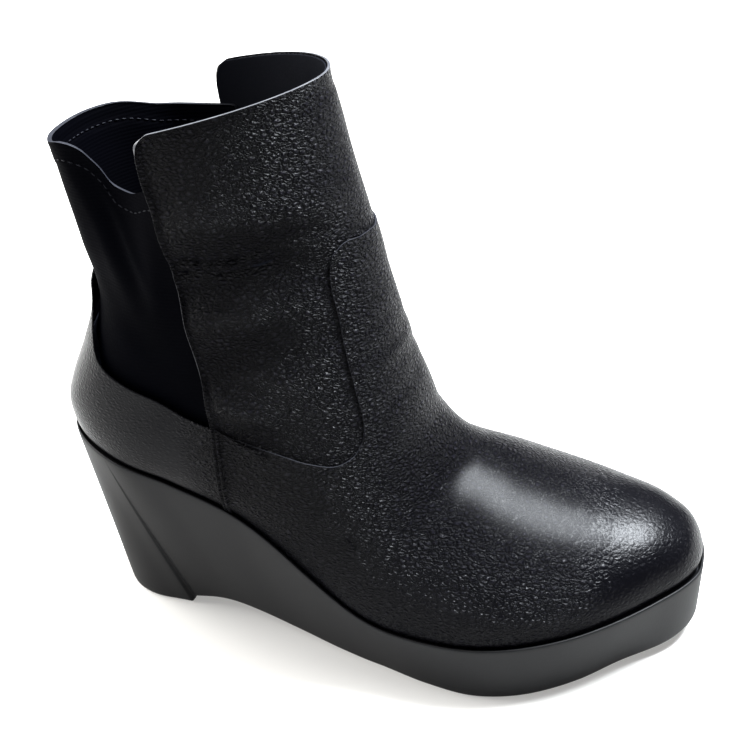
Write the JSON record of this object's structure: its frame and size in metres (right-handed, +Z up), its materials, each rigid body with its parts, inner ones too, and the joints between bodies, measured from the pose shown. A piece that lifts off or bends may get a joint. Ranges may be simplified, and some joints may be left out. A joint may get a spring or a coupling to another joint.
{
  "type": "wedge ankle bootie",
  "caption": "Leather wedge ankle bootie for a right foot, with a lapped vamp and quarter, an open-backed leather shaft, an elastic back panel and a moulded platform wedge sole.",
  "frame": {"origin": "on the floor, in the middle of the heel's flat rest", "axes": "+Z up, +X towards the toe, +Y towards the inner side of the foot"},
  "size_m": [0.2565, 0.1087, 0.233],
  "materials": {
    "leather": "black pebbled leather, semi-gloss, smoother and glossier at the toe and heel",
    "elastic": "blue-black stretch knit, matt",
    "sole_rubber": "matt black moulded sole, fine even texture",
    "lining": "dark navy lining, matt"
  },
  "bodies": {
    "root": {"wedge_sole": "sole_rubber", "insole": "lining", "upper": "leather", "shaft": "leather", "elastic_back": "elastic", "side_seam_lateral": "leather", "side_seam_medial": "leather"}
  },
  "joints": []
}
